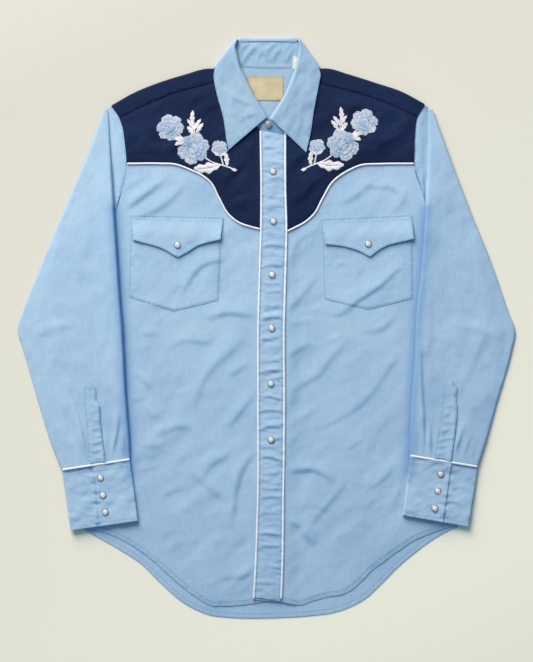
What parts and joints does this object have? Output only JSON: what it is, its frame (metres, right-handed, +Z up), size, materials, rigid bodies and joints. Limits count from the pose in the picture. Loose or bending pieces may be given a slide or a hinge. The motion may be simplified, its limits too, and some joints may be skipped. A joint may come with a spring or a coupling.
{
  "type": "western snap shirt",
  "caption": "Long-sleeved western snap shirt laid flat: curved contrast yokes with white piping, flapped chest pockets, spread collar and shaped tail hem.",
  "frame": {"origin": "on the flat underside of the back, a little below the middle of the shirt and beneath its front opening", "axes": "+Z up from the surface the shirt lies on, +Y from the hem towards the collar, +X to the right as seen from above"},
  "size_m": [0.7064, 0.8233, 0.0114],
  "materials": {
    "light_blue_cloth": "fine cotton weave, soft sheen",
    "navy_cloth": "fine cotton weave, matt",
    "white_cord": "woven satin piping",
    "cream_label": "woven label, bare",
    "pearl_snap": "pearl cap in a metal ring"
  },
  "bodies": {
    "root": {"back": "light_blue_cloth", "back_yoke": "navy_cloth", "collar_leaf": "light_blue_cloth", "collar_stand": "light_blue_cloth", "cuff_left": "light_blue_cloth", "cuff_piping_left": "white_cord", "cuff_piping_right": "white_cord", "cuff_right": "light_blue_cloth", "cuff_snap_left_1": "pearl_snap", "cuff_snap_left_2": "pearl_snap", "cuff_snap_left_3": "pearl_snap", "cuff_snap_right_1": "pearl_snap", "cuff_snap_right_2": "pearl_snap", "cuff_snap_right_3": "pearl_snap", "flap_left": "light_blue_cloth", "flap_right": "light_blue_cloth", "flap_snap_left": "pearl_snap", "flap_snap_right": "pearl_snap", "front_left": "light_blue_cloth", "front_right": "light_blue_cloth", "label": "cream_label", "placket": "light_blue_cloth", "placket_piping_left": "white_cord", "placket_piping_right": "white_cord", "placket_snap_1": "pearl_snap", "placket_snap_2": "pearl_snap", "placket_snap_3": "pearl_snap", "placket_snap_4": "pearl_snap", "placket_snap_5": "pearl_snap", "placket_snap_6": "pearl_snap", "pocket_left": "light_blue_cloth", "pocket_right": "light_blue_cloth", "size_tab": "white_cord", "sleeve_left": "light_blue_cloth", "sleeve_placket_left": "light_blue_cloth", "sleeve_placket_right": "light_blue_cloth", "sleeve_right": "light_blue_cloth", "stand_snap": "pearl_snap", "yoke_front_left": "navy_cloth", "yoke_front_right": "navy_cloth", "yoke_lining": "light_blue_cloth", "yoke_piping_left": "white_cord", "yoke_piping_right": "white_cord"}
  },
  "joints": []
}
